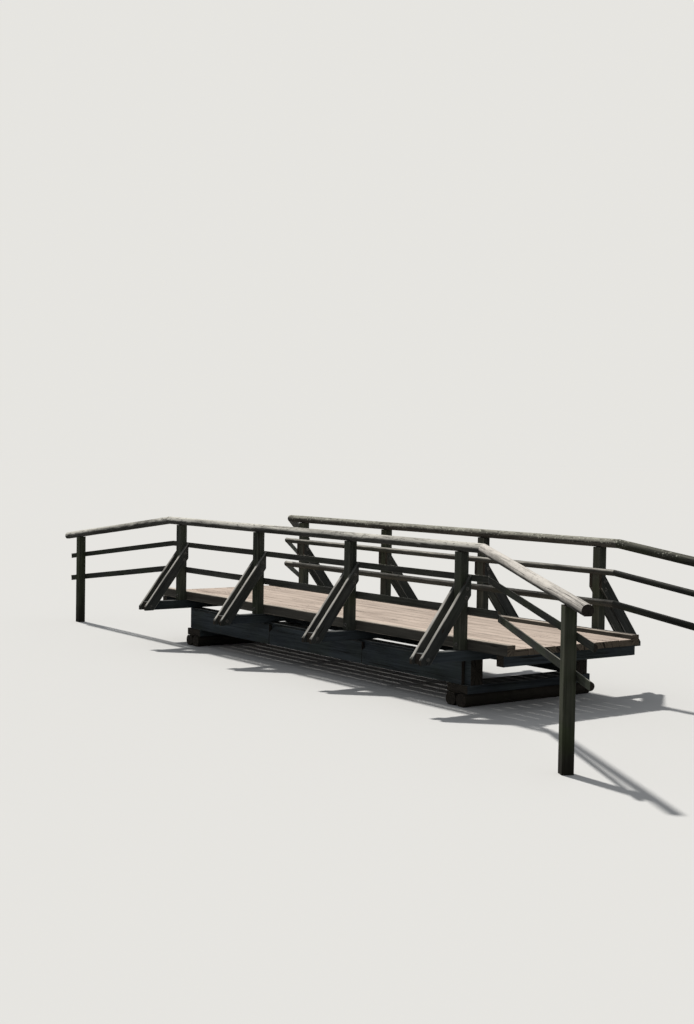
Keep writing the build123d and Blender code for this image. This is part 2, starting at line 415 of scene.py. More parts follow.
def wood(name, light, dark, bleached_and_sunlit, bleach_and_sunlight=0.6, sun_from=0.2, sun_to=0.75, cracks=0.5, green=0.0,
         lichen=0.0, knots=0.5, contrast=0.5, damp_to=0.0, worn=0.3, flecks=0.0, painted_rail_shadow_from=None):
    """Weathered softwood, seen along the grain.

    Light and dark are the two tones of the grain, bleached_and_sunlit the tone of surfaces that
    face the sun, the more so between two limits: partly real bleaching and partly painted
    sunlight, with painted shade on the sides turned away; bleach_and_sunlight is its share.
    Green is the share of algae, lichen the share of pale spots, damp_to the height up to which
    the wood is dark with wet, worn the paleness of rubbed arrises, flecks the strength of small
    dark flecks left by the bark, and painted_rail_shadow_from the height above which a rail
    keeps off the sun, where a painted shadow takes the pale tone away.
    """
    material, n = new_material(name)
    place = n.add("ShaderNodeAttribute", attribute_name="grain", out=1)
    tone = n.add("ShaderNodeAttribute", attribute_name="tone", out=2)
    arris = n.add("ShaderNodeAttribute", attribute_name="arris", out=2)
    where = n.add("ShaderNodeTexCoord", out=3)
    normal = n.add("ShaderNodeNewGeometry", out=1)
    up = n.add("ShaderNodeSeparateXYZ", normal, out=2)
    # fibres, yearly bands and broad patches
    fibre = n.noise(n.stretched(place, *FIBRES), detail=5, rough=0.65)
    band = n.noise(n.stretched(place, *BANDS), detail=4, rough=0.6, distort=0.3)
    patch = n.noise(n.stretched(place, *PATCHES), detail=3)
    streak = n.maths("ADD", n.maths("MULTIPLY", fibre, 0.45), n.maths("MULTIPLY", band, 0.55))
    streak = n.maths("ADD", streak, n.maths("MULTIPLY_ADD", patch, 0.7, -0.35))
    softness = 0.5 * (1.1 - contrast)
    streak = n.spread(streak, 0.5 - softness, 0.5 + softness)
    colour = n.mix(streak, dark, light)
    # the sun bleaches what faces it, more in some places than in others; this paler side is also
    # painted sunlight, and the darker sides turned away from the sun are painted shade
    blotch = n.noise(n.stretched(place, *BLEACHED_PATCHES), detail=5, rough=0.6)
    sun_bleach_and_painted_light = n.add("ShaderNodeVectorMath", normal, SUNNY_SIDE, operation="DOT_PRODUCT")
    sun_bleach_and_painted_light = n.maths("ADD", sun_bleach_and_painted_light, n.maths("MULTIPLY_ADD", blotch, 0.4, -0.2))
    sun_bleach_and_painted_light = n.maths("MULTIPLY", n.spread(sun_bleach_and_painted_light, sun_from, sun_to), n.spread(blotch, 0.3, 0.55, 0.75, 1.0))
    # above the given height the pale tone fades into a painted shadow of the rail overhead
    if painted_rail_shadow_from:
        level = n.add("ShaderNodeSeparateXYZ", where, out=2)
        shade_low, shade_high = painted_rail_shadow_from - PAINTED_SHADOW_EDGE, painted_rail_shadow_from + PAINTED_SHADOW_EDGE
        outside_painted_rail_shadow = n.spread(level, shade_high, shade_low, 0.15, 1.0)
        sun_bleach_and_painted_light = n.maths("MULTIPLY", sun_bleach_and_painted_light, outside_painted_rail_shadow)
    pale = n.mix(n.spread(streak, 0.05, 0.6), n.mix(0.5, bleached_and_sunlit, dark), bleached_and_sunlit)
    colour = n.mix(n.maths("MULTIPLY", sun_bleach_and_painted_light, bleach_and_sunlight), colour, pale)
    if flecks:
        fleck = n.noise(n.stretched(place, *FLECKS), detail=5, rough=0.65)
        colour = n.mix(n.maths("MULTIPLY", n.spread(fleck, 0.53, 0.63), flecks), colour, dark)
    # timbers differ a little from each other, and rubbed arrises are paler
    shift = n.spread(tone, 0.0, 1.0, 0.84, 1.12, smooth=False)
    colour = n.mix(1.0, colour, n.add("ShaderNodeCombineXYZ", shift, shift, shift), "MULTIPLY")
    rubbed = n.maths("MULTIPLY", n.spread(arris, 0.6, 1.0), n.spread(blotch, 0.42, 0.6, 0.0, worn))
    colour = n.mix(rubbed, colour, bleached_and_sunlit)
    # algae in the damp shade
    if green:
        film = n.noise(where, scale=ALGAE_FILMS, detail=5, rough=0.6)
        film = n.maths("MULTIPLY", n.spread(film, 0.4, 0.66), green)
        film = n.maths("MULTIPLY", film, n.spread(up, 0.75, -0.2, 0.25, 1.0))
        colour = n.mix(film, colour, ALGAE_GREEN)
    # lichen as small pale ragged spots, close together in some places
    height = n.maths("MULTIPLY_ADD", fibre, 0.35, n.maths("MULTIPLY", band, 0.5))
    if lichen:
        rags = n.noise(where, scale=LICHEN_RAGS, detail=5, rough=0.7)
        ragged = n.maths("MULTIPLY_ADD", rags, 1.5, -0.75)
        scattered = n.stretched(where, LICHEN_SPOTS, LICHEN_SPOTS)
        smaller = n.maths("MULTIPLY", n.add("ShaderNodeSeparateXYZ", n.cells(scattered, out=1)), 0.36)
        spots = n.maths("ADD", n.maths("ADD", n.cells(scattered), smaller), ragged)
        region = n.noise(where, scale=LICHEN_PATCHES, detail=4)
        region = n.spread(region, 0.62 - 0.26 * lichen, 0.74 - 0.26 * lichen)
        spots = n.maths("MULTIPLY", n.spread(spots, 0.5, 0.36), region)
        spots = n.maths("MULTIPLY", spots, n.spread(up, -0.3, 0.4))
        colour = n.mix(n.maths("MULTIPLY", spots, 0.8), colour, LICHEN_PALE)
        height = n.maths("MULTIPLY_ADD", spots, 0.6, height)
    # knots: dark ringed ovals in a darker halo
    knot_place = n.stretched(place, *KNOTS)
    chance = n.add("ShaderNodeSeparateXYZ", n.cells(knot_place, out=1))
    chance = n.spread(chance, 1.0 - 0.6 * knots, 1.02 - 0.6 * knots)
    away = n.maths("ADD", n.cells(knot_place), n.maths("MULTIPLY_ADD", fibre, 0.03, -0.015))
    halo = n.maths("MULTIPLY", n.spread(away, 0.2, 0.07), chance)
    colour = n.mix(n.maths("MULTIPLY", halo, 0.3), colour, dark)
    knot = n.maths("MULTIPLY", n.spread(away, 0.082, 0.07), chance)
    knot_ring = n.maths("SINE", n.maths("MULTIPLY", away, KNOT_RINGS))
    knot_ring = n.maths("MULTIPLY_ADD", knot_ring, 0.12, 0.72)
    colour = n.mix(n.maths("MULTIPLY", knot, knot_ring), colour, KNOT_BROWN)
    # drying cracks, long and thin
    line = n.noise(n.stretched(place, *CRACKS), detail=2, rough=0.4)
    line = n.maths("ABSOLUTE", n.maths("SUBTRACT", line, 0.5))
    region = n.noise(n.stretched(place, *CRACKED_PATCHES), detail=1)
    region = n.spread(region, 0.62 - 0.24 * cracks, 0.70 - 0.24 * cracks)
    crack = n.maths("MULTIPLY", n.spread(line, 0.016, 0.003), region)
    colour = n.mix(n.maths("MULTIPLY", crack, 0.85), colour, CRACK_BLACK)
    # wet and earth near the ground
    if damp_to:
        level = n.add("ShaderNodeSeparateXYZ", where, out=2)
        wavy = n.maths("MULTIPLY_ADD", n.noise(where, scale=DAMP_EDGES), 0.3, -0.15)
        level = n.maths("ADD", level, wavy)
        colour = n.mix(n.spread(level, damp_to, 0.0, 0.0, 0.85), colour, DAMP_EARTH)
    height = n.maths("SUBTRACT", height, n.maths("MULTIPLY", crack, 2.2))
    height = n.maths("SUBTRACT", height, n.maths("MULTIPLY", knot, 0.5))
    roughness = n.spread(streak, 0.0, 1.0, 0.92, 0.78, smooth=False)
    n.surface(colour, roughness, height, WOOD_RELIEF)
    return material


# how often yearly rings, their uneven stretches and blotches come in a metre of a sawn end
# and checks in a radian, and the depth of the relief
YEARS_PER_METRE = 260.0
UNEVEN_RINGS = 9.0
END_BLOTCHES = 30.0
CHECKS = 2.2
END_RELIEF = 0.002


def end_grain(name, light, dark):
    """Sawn end of a weathered timber: yearly rings round the pith, and checks that fan out."""
    material, n = new_material(name)
    place = n.add("ShaderNodeAttribute", attribute_name="grain", out=1)
    parts = n.add("ShaderNodeSeparateXYZ", place).node
    wobble = n.noise(n.stretched(place, UNEVEN_RINGS, 0.0), detail=2)
    x = n.maths("SUBTRACT", parts.outputs[0], n.maths("ROUND", parts.outputs[0]))
    y = n.maths("SUBTRACT", parts.outputs[1], n.maths("ROUND", parts.outputs[1]))
    square = n.maths("ADD", n.maths("MULTIPLY", x, x), n.maths("MULTIPLY", y, y))
    radius = n.maths("ADD", n.maths("SQRT", square), n.maths("MULTIPLY", wobble, 0.02))
    ring = n.maths("SINE", n.maths("MULTIPLY", radius, YEARS_PER_METRE * 2 * math.pi))
    ring = n.maths("MULTIPLY_ADD", ring, 0.5, 0.5)
    blotch = n.noise(n.stretched(place, END_BLOTCHES, 0.0), detail=4)
    colour = n.mix(n.maths("MULTIPLY_ADD", ring, 0.45, n.maths("MULTIPLY", blotch, 0.5)), dark, light)
    angle = n.maths("ARCTAN2", y, x)
    rays = n.noise(n.add("ShaderNodeCombineXYZ", n.maths("MULTIPLY", angle, CHECKS), 0.0, 0.0), detail=3)
    rays = n.maths("ABSOLUTE", n.maths("SUBTRACT", rays, 0.5))
    check = n.maths("MULTIPLY", n.spread(rays, 0.02, 0.004), n.spread(radius, 0.004, 0.02))
    colour = n.mix(n.maths("MULTIPLY", check, 0.9), colour, CRACK_BLACK)
    height = n.maths("SUBTRACT", n.maths("MULTIPLY", ring, 0.3), n.maths("MULTIPLY", check, 2.0))
    n.surface(colour, 0.9, height, END_RELIEF)
    return material


log_wood = wood(
    "damp log", linear(82, 76, 68), linear(46, 42, 39), linear(118, 112, 102),
    bleach_and_sunlight=0.3, cracks=0.6, green=0.4, damp_to=0.35,
)
dark_end = end_grain("dark end grain", linear(78, 72, 64), linear(36, 33, 31))
for word in ("left", "right"):
    rebuild("logs_" + word, 11, log_wood, dark_end, "log_wood", rough=0.002)

# Sills, main beams and their face boards
# Squared spruce below the deck, out of the sun. Its dark blue-grey is partly weathered wood
# and partly painted shade, blue with painted skylight. Boards cut away at the crossbeams
# cover the beams' outer faces, held by nails.

# the dark blue-grey of this wood is partly its own tone and partly painted shade and skylight
beam_wood = wood(
    "shaded beam wood", linear(78, 86, 92), linear(44, 48, 52), linear(126, 126, 122),
    bleach_and_sunlight=0.5, cracks=0.55, green=0.2, contrast=0.6, worn=0.2,
)
for word in ("left", "right"):
    rebuild("sill_" + word, 21, beam_wood, dark_end, "beam_wood")
for word in ("near", "far"):
    rebuild("main_beam_" + word, 31, beam_wood, dark_end, "beam_wood")
    rebuild("face_boards_" + word, 41, beam_wood, dark_end, "beam_wood", off_pith=0.4)


# how often patches of rust and its grains come in a metre, and the depth of the relief
RUST_PATCHES = 95.0
RUST_GRAINS = 900.0
IRON_RELIEF = 0.0005
DULL_ZINC = linear(62, 62, 61)
DARK_RUST = linear(46, 34, 27)


def rusty_iron(name, zinc, rust, share):
    """Zinc-coated iron that has gone dull and rusts in patches."""
    material, n = new_material(name)
    where = n.add("ShaderNodeTexCoord", out=3)
    cloud = n.noise(where, scale=RUST_PATCHES, detail=5, rough=0.65)
    rusted = n.spread(cloud, 0.6 - 0.3 * share, 0.8 - 0.3 * share)
    grains = n.noise(where, scale=RUST_GRAINS, detail=3)
    colour = n.mix(rusted, n.mix(grains, zinc, DULL_ZINC), n.mix(grains, rust, DARK_RUST))
    roughness = n.spread(rusted, 0.0, 1.0, 0.55, 0.9, smooth=False)
    height = n.maths("MULTIPLY_ADD", rusted, 0.5, n.maths("MULTIPLY", grains, 0.5))
    n.surface(colour, roughness, height, IRON_RELIEF, specular=0.4, metallic=0.35)
    return material


def geometry_tree(name, *labels):
    """An empty Geometry Nodes tree with named inputs, and the node that gives them."""
    tree = bpy.data.node_groups.new(name, "GeometryNodeTree")
    n = Nodes(tree)
    tree.interface.new_socket("Geometry", in_out="OUTPUT", socket_type="NodeSocketGeometry")
    tree.interface.new_socket("Geometry", in_out="INPUT", socket_type="NodeSocketGeometry")
    for label, kind in labels:
        tree.interface.new_socket(label, in_out="INPUT", socket_type="NodeSocket" + kind)
    return n, tree.nodes.new("NodeGroupInput").outputs


def close_tree(n, shape, material):
    """Ends a tree: every copy becomes real and takes its material."""
    shape = n.add("GeometryNodeRealizeInstances", shape)
    shape = n.add("GeometryNodeSetMaterial", shape, None, material)
    n.give(n.tree.nodes.new("NodeGroupOutput").inputs[0], shape)
    return n.tree


def grown(name, tree, places, **values):
    """A plain mesh piece that a tree makes on the given points, each with its own direction."""
    start = bpy.data.meshes.new(name)
    start.from_pydata([point for point, _ in places], [], [])
    aim = start.attributes.new("aim", "FLOAT_VECTOR", "POINT")
    for entry, (_, direction) in zip(aim.data, places):
        entry.vector = direction
    piece = bpy.data.objects.new(name, start)
    bpy.context.collection.objects.link(piece)
    modifier = piece.modifiers.new(name, "NODES")
    modifier.node_group = tree
    for item in tree.interface.items_tree:
        label = item.name.lower().replace(" ", "_")
        if item.in_out == "INPUT" and label in values:
            modifier[item.identifier] = values[label]
    ready = piece.evaluated_get(bpy.context.evaluated_depsgraph_get())
    shape = bpy.data.meshes.new_from_object(ready)
    piece.modifiers.remove(modifier)
    piece.data = shape
    shape.name = name
    # the material slots that the tree left empty go
    used = [m for m in shape.materials if m is not None]
    order = [used.index(m) if m in used else 0 for m in shape.materials]
    indices = [order[polygon.material_index] for polygon in shape.polygons]
    shape.materials.clear()
    for material in used:
        shape.materials.append(material)
    shape.polygons.foreach_set("material_index", indices)
    shape.polygons.foreach_set("use_smooth", [True] * len(shape.polygons))
    shape.set_sharp_from_angle(angle=SHARP_FROM)
    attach(piece, "root")
    return piece


SEAT_REACH = 0.04


def seat(piece, point, outward):
    """Where a fixing driven in towards a point meets the worn wood, with its direction."""
    outward = Vector(outward).normalized()
    hit, place, _, _ = piece.ray_cast(
        Vector(point) + outward * SEAT_REACH, -outward, distance=2 * SEAT_REACH,
        depsgraph=bpy.context.evaluated_depsgraph_get(),
    )
    return [(place, outward)] if hit else []


def spun_on_points(n, points, shape, seed):
    """Copies a shape to each point, its foot square to the point's direction, turned at random."""
    aim = n.add("GeometryNodeInputNamedAttribute", "aim", data_type="FLOAT_VECTOR")
    facing = n.add("FunctionNodeAlignRotationToVector", None, None, aim, axis="Z")
    angle = n.add("FunctionNodeRandomValue", 0.0, 2 * math.pi, None, seed)
    spin = n.add("FunctionNodeAxisAngleToRotation", (0.0, 0.0, 1.0), angle)
    turned = n.add("FunctionNodeRotateRotation", facing, spin, rotation_space="LOCAL")
    return n.add("GeometryNodeInstanceOnPoints", points, None, shape, None, None, turned)


NAIL_WIDTH = 0.011
NAIL_RISE = 0.0028
NAIL_SIDES = 9
NAIL_ROWS = 6


def nail_tree():
    """Hammered nail heads: shallow domes, half sunk into the wood."""
    n, given = geometry_tree(
        "nail heads", ("Width", "Float"), ("Rise", "Float"), ("Seed", "Int"), ("Material", "Material"),
    )
    half_width = n.maths("MULTIPLY", given["Width"], 0.5)
    dome = n.add("GeometryNodeMeshUVSphere", NAIL_SIDES, NAIL_ROWS, half_width)
    flat = n.maths("DIVIDE", n.maths("MULTIPLY", given["Rise"], 2.0), given["Width"])
    dome = n.add("GeometryNodeTransform", dome, None, None, n.add("ShaderNodeCombineXYZ", 1.0, 1.0, flat))
    heads = spun_on_points(n, given["Geometry"], dome, given["Seed"])
    return close_tree(n, heads, given["Material"])


nail_heads = nail_tree()
nail_iron = rusty_iron("nail iron", linear(96, 94, 90), linear(84, 52, 36), 0.8)


def nails(name, places, seed):
    return grown(
        name, nail_heads, places, width=NAIL_WIDTH, rise=NAIL_RISE, seed=seed, material=nail_iron
    )


# pairs of nails along the boards: how many, how far from the boards' ends and edges, how far
# the lower nail is set aside, and the clear stretch beside each inner crossbeam
BOARD_NAILS = 9
FROM_END = 0.09
FROM_EDGE = 0.06
SET_ASIDE = 0.01
CLEAR_OF_POST = 0.3
post_middles = [sum(c[0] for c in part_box("post_near_" + str(i))) / 2 for i in range(1, 5)]
for word, side in (("near", -1), ("far", 1)):
    low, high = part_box("face_boards_" + word)
    boards = bpy.data.objects["face_boards_" + word + "_wood"]
    face = low[1] if side < 0 else high[1]
    places = []
    for i in range(BOARD_NAILS):
        x = low[0] + FROM_END + (high[0] - low[0] - 2 * FROM_END) * i / (BOARD_NAILS - 1)
        if min(abs(x - middle) for middle in post_middles[1:3]) > CLEAR_OF_POST:
            places += seat(boards, (x, face, high[2] - FROM_EDGE), (0, side, 0))
            places += seat(boards, (x + SET_ASIDE, face, low[2] + FROM_EDGE), (0, side, 0))
    nails("face_board_nails_" + word, places, 5)

# Crossbeams and bearers
# Four squared spruce crossbeams lie across the main beams and reach out past the deck,
# each to carry a post and the feet of its braces on both sides. Bearers hold the deck's ends.

for number in range(1, 5):
    rebuild("crossbeam_" + str(number), 50 + number, beam_wood, dark_end, "beam_wood")
rebuild("end_bearers", 61, beam_wood, dark_end, "beam_wood")

# Deck
# Long planks lie side by side between two raised edge timbers, nailed to the crossbeams
# and bearers. Feet and rain have worn them pale, with fine grey streaks and dark knots.

deck_wood = wood(
    "worn deck wood", linear(178, 162, 149), linear(128, 114, 104), linear(208, 192, 179),
    bleach_and_sunlight=0.8, cracks=0.35, knots=0.55,
)
edge_wood = wood(
    "edge timber wood", linear(92, 90, 84), linear(54, 52, 48), linear(208, 196, 182),
    bleach_and_sunlight=0.9, cracks=0.4, knots=0.4, worn=0.5,
)
pale_end = end_grain("pale end grain", linear(140, 128, 112), linear(74, 66, 58))
for word in ("near", "far"):
    rebuild("edge_timber_" + word, 71, edge_wood, pale_end, "deck_wood", off_pith=0.05)


# rings of points along a plank, cuts in each side of its section, how often its wear rises
# and falls in a metre across and along, and how far an end's normal leans to the run at least
PLANK_RINGS = 110
PLANK_CUTS = 5
PLANK_WEAR = (34.0, 3.0)
PLANK_END_FROM = 0.7
GRAIN_SHIFT = (float(SHIFT_ACROSS), float(SHIFT_ACROSS), float(SHIFT_ALONG))


def plank_tree():
    """Planks side by side, sawn alike, then each worn, sunk and shortened in its own way."""
    n, given = geometry_tree(
        "deck planks", ("Count", "Int"), ("Pitch", "Float"), ("Gap", "Float"), ("Length", "Float"),
        ("Thickness", "Float"), ("Arris", "Float"), ("Sag", "Float"), ("Wear", "Float"), ("Uneven", "Float"),
        ("Seed", "Int"), ("First", "Vector"), ("Material", "Material"), ("End Material", "Material"),
    )
    width = n.maths("SUBTRACT", given["Pitch"], given["Gap"])
    half_length = n.maths("MULTIPLY", given["Length"], 0.5)
    # one plank: its section carried along a straight line
    section = n.add("GeometryNodeCurvePrimitiveQuadrilateral", width, given["Thickness"])
    section = n.add("GeometryNodeSubdivideCurve", section, PLANK_CUTS)
    section = n.add("GeometryNodeFilletCurve", section, given["Arris"], True, mode="BEZIER")
    line = n.add(
        "GeometryNodeCurvePrimitiveLine",
        n.add("ShaderNodeCombineXYZ", n.maths("MULTIPLY", half_length, -1.0), 0.0, 0.0),
        n.add("ShaderNodeCombineXYZ", half_length, 0.0, 0.0),
    )
    line = n.add("GeometryNodeResampleCurve", line, None, PLANK_RINGS)
    line = n.add("GeometryNodeSetCurveNormal", line, mode="Z_UP")
    plank = n.add("GeometryNodeCurveToMesh", line, section, None, True)
    # the row of planks
    step = n.add("ShaderNodeCombineXYZ", 0.0, given["Pitch"], 0.0)
    row = n.add("GeometryNodeMeshLine", given["Count"], given["First"], step, mode="OFFSET")
    row = n.add("GeometryNodeInstanceOnPoints", row, None, plank)
    index = n.add("GeometryNodeInputIndex")
    row = n.add(
        "GeometryNodeStoreNamedAttribute", row, None, "number", index, data_type="INT", domain="INSTANCE"
    )
    planks = n.add("GeometryNodeRealizeInstances", row)
    number = n.add("GeometryNodeInputNamedAttribute", "number", data_type="INT")
    first_x, first_y, first_z = (n.add("ShaderNodeSeparateXYZ", given["First"], out=k) for k in range(3))
    place = n.add("GeometryNodeInputPosition")
    along = n.maths("SUBTRACT", n.add("ShaderNodeSeparateXYZ", place), first_x)
    across = n.maths("SUBTRACT", n.add("ShaderNodeSeparateXYZ", place, out=1), first_y)
    across = n.maths("SUBTRACT", across, n.maths("MULTIPLY", number, given["Pitch"]))
    upright = n.maths("SUBTRACT", n.add("ShaderNodeSeparateXYZ", place, out=2), first_z)
    # its own grain and tone
    chance = n.add(
        "FunctionNodeRandomValue", tuple(-k for k in GRAIN_SHIFT), GRAIN_SHIFT, number, given["Seed"],
        data_type="FLOAT_VECTOR",
    )
    grain = n.add("ShaderNodeCombineXYZ", upright, across, along)
    grain = n.add("ShaderNodeVectorMath", grain, chance, operation="ADD")
    planks = n.add(
        "GeometryNodeStoreNamedAttribute", planks, None, "grain", grain,
        data_type="FLOAT_VECTOR", domain="POINT",
    )
    tone = n.add("FunctionNodeRandomValue", 0.0, 1.0, number, n.maths("ADD", given["Seed"], 1.0))
    planks = n.add(
        "GeometryNodeStoreNamedAttribute", planks, None, "tone", tone, data_type="FLOAT", domain="POINT"
    )
    # wear, sag of the top and uneven ends, all inwards
    ripple = n.noise(n.stretched(grain, *PLANK_WEAR), detail=3)
    normal = n.add("GeometryNodeInputNormal")
    inward = n.maths("MULTIPLY", ripple, n.maths("MULTIPLY", given["Wear"], -1.0))
    worn = n.add("ShaderNodeVectorMath", normal, operation="SCALE")
    n.give(worn.node.inputs["Scale"], inward)
    lower = n.add("FunctionNodeRandomValue", 0.0, 1.0, number, n.maths("ADD", given["Seed"], 2.0))
    is_top = n.maths("GREATER_THAN", upright, 0.0)
    most_sag = n.maths("MULTIPLY", given["Sag"], -1.0)
    lower = n.maths("MULTIPLY", n.maths("MULTIPLY", lower, is_top), most_sag)
    short = n.add("FunctionNodeRandomValue", 0.0, 1.0, number, n.maths("ADD", given["Seed"], 3.0))
    share = n.maths("DIVIDE", along, half_length)
    most_short = n.maths("MULTIPLY", given["Uneven"], -1.0)
    short = n.maths("MULTIPLY", n.maths("MULTIPLY", short, share), most_short)
    move = n.add("ShaderNodeCombineXYZ", short, 0.0, lower)
    move = n.add("ShaderNodeVectorMath", worn, move, operation="ADD")
    planks = n.add("GeometryNodeSetPosition", planks, None, None, move)
    planks = n.add("GeometryNodeSetMaterial", planks, None, given["Material"])
    facing = n.maths("ABSOLUTE", n.add("ShaderNodeSeparateXYZ", n.add("GeometryNodeInputNormal")))
    at_end = n.maths("GREATER_THAN", facing, PLANK_END_FROM)
    planks = n.add("GeometryNodeSetMaterial", planks, at_end, given["End Material"])
    n.give(n.tree.nodes.new("NodeGroupOutput").inputs[0], planks)
    return n.tree


PLANK_COUNT = 9
PLANK_GAP = 0.007
low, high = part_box("deck_planks")
plank_pitch = (high[1] - low[1] + PLANK_GAP) / PLANK_COUNT
first_plank = ((low[0] + high[0]) / 2, low[1] + (plank_pitch - PLANK_GAP) / 2, (low[2] + high[2]) / 2)
planks = grown(
    "deck_planks_wood", plank_tree(), [], count=PLANK_COUNT, pitch=plank_pitch, gap=PLANK_GAP,
    length=high[0] - low[0], thickness=high[2] - low[2], arris=ARRIS, sag=0.001, wear=0.0012,
    uneven=0.009, seed=4, first=first_plank, material=deck_wood, end_material=pale_end,
)
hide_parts("deck_planks")
# two nails through each plank into each crossbeam and bearer: distance of each from the
# plank's middle, how far a hand sets it off the line, across and along, and half a bearer
NAIL_ASIDE = 0.06
OFF_ACROSS = 0.006
OFF_ALONG = 0.02
HALF_BEARER = 0.06
bearer_low, bearer_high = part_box("end_bearers")
bearing_lines = post_middles + [bearer_low[0] + HALF_BEARER, bearer_high[0] - HALF_BEARER]
rng = random.Random(8)
places = []
for i in range(PLANK_COUNT):
    for x in bearing_lines:
        for aside in (-NAIL_ASIDE, NAIL_ASIDE):
            y = first_plank[1] + i * plank_pitch + aside + rng.uniform(-OFF_ACROSS, OFF_ACROSS)
            places += seat(planks, (x + rng.uniform(-OFF_ALONG, OFF_ALONG), y, high[2]), (0, 0, 1))
nails("deck_nails", places, 6)

# Posts and braces
# Squared posts stand on the crossbeams. Two planks clasp each post and run down to clasp
# the crossbeam's end, held by bolts with washers. Only their upper edges see the sun.

# the posts' dark tone is partly weathered wood and partly painted shade
post_wood = wood(
    "shaded post wood", linear(80, 82, 75), linear(41, 43, 40), linear(136, 134, 125),
    bleach_and_sunlight=0.7, cracks=0.7, green=0.4, contrast=0.6, knots=0.6,
)
# the braces' pale upper edges are partly painted sunlight; above 1.33 m a painted shadow of the top rail
# keeps them dark, which also stands for less bleaching there
brace_wood = wood(
    "brace wood", linear(78, 80, 78), linear(44, 45, 45), linear(222, 218, 210),
    bleach_and_sunlight=0.95, sun_to=0.6, cracks=0.45, green=0.15, contrast=0.6, worn=0.45,
    painted_rail_shadow_from=1.33,
)
for word in ("near", "far"):
    for number in range(1, 5):
        spot = word + "_" + str(number)
        rebuild("post_" + spot, 90 + number, post_wood, dark_end, "frame_wood")
        rebuild("braces_" + spot, 100 + number, brace_wood, dark_end, "frame_wood", off_pith=0.3)


RIM_FROM = 0.49
RIM_DRAWN = (0.9, 0.9, 1.0)


def barrel(n, sides, width, low, high):
    """A short round or six-sided bar between two heights, drawn in round its upper rim."""
    depth = n.maths("SUBTRACT", high, low)
    bar = n.add("GeometryNodeMeshCylinder", sides, 3, 1, n.maths("MULTIPLY", width, 0.5), depth)
    place = n.add("GeometryNodeInputPosition")
    height = n.add("ShaderNodeSeparateXYZ", place, out=2)
    rim = n.maths("GREATER_THAN", height, n.maths("MULTIPLY", depth, RIM_FROM))
    drawn = n.add("ShaderNodeVectorMath", place, RIM_DRAWN, operation="MULTIPLY")
    bar = n.add("GeometryNodeSetPosition", bar, rim, drawn)
    middle = n.maths("MULTIPLY", n.maths("ADD", high, low), 0.5)
    return n.add("GeometryNodeTransform", bar, n.add("ShaderNodeCombineXYZ", 0.0, 0.0, middle))


WASHER_SIDES = 20
ROD_SIDES = 12


def bolt_tree():
    """The end of a bolt: a round washer, a six-sided nut and the rod that stands out of it."""
    n, given = geometry_tree(
        "bolt ends", ("Washer Width", "Float"), ("Washer Thickness", "Float"), ("Nut Width", "Float"),
        ("Nut Height", "Float"), ("Rod Width", "Float"), ("Rod Reach", "Float"), ("Sunk", "Float"),
        ("Seed", "Int"), ("Material", "Material"),
    )
    foot = n.maths("MULTIPLY", given["Sunk"], -1.0)
    nut_top = n.maths("ADD", given["Washer Thickness"], given["Nut Height"])
    washer = barrel(n, WASHER_SIDES, given["Washer Width"], foot, given["Washer Thickness"])
    end = n.add("GeometryNodeJoinGeometry", washer)
    for sides, width, low, high in (
        (6, given["Nut Width"], given["Washer Thickness"], nut_top),
        (ROD_SIDES, given["Rod Width"], nut_top, n.maths("ADD", nut_top, given["Rod Reach"])),
    ):
        n.give(end.node.inputs[0], barrel(n, sides, width, low, high))
    ends = spun_on_points(n, given["Geometry"], end, given["Seed"])
    return close_tree(n, ends, given["Material"])


bolt_ends = bolt_tree()
bolt_iron = rusty_iron("bolt iron", linear(98, 98, 95), linear(74, 56, 45), 0.35)


def bolts(name, places, seed):
    return grown(
        name, bolt_ends, places, washer_width=0.046, washer_thickness=0.004, nut_width=0.026,
        nut_height=0.012, rod_width=0.014, rod_reach=0.009, sunk=0.003, seed=seed, material=bolt_iron,
    )


# places of the bolts on a pair of braces, out from its inner side and up from its foot,
# and height of the bolt through a post's foot
BRACE_BOLTS = ((0.055, 0.825), (0.07, 0.725), (0.61, 0.06))
POST_BOLT = 0.065
for word, side in (("near", -1), ("far", 1)):
    places = []
    for number in range(1, 5):
        node = "braces_" + word + "_" + str(number)
        low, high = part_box(node)
        pair = bpy.data.objects[node + "_wood"]
        inner = high[1] if side < 0 else low[1]
        for reach, rise in BRACE_BOLTS:
            point_y, point_z = inner + side * reach, low[2] + rise
            places += seat(pair, (low[0], point_y, point_z), (-1, 0, 0))
            places += seat(pair, (high[0], point_y, point_z), (1, 0, 0))
        node = "post_" + word + "_" + str(number)
        low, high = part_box(node)
        post = bpy.data.objects[node + "_wood"]
        outer = low[1] if side < 0 else high[1]
        places += seat(post, ((low[0] + high[0]) / 2, outer, low[2] + POST_BOLT), (0, side, 0))
    bolts("bolts_" + word, places, 12)

# Rails
# A round spruce pole lies on the posts, bleached pale by the sun; its pale upper side is
# partly painted sunlight and its darker underside painted shade. Two half-round rails are
# nailed to the inner faces of the posts with their flat sides.

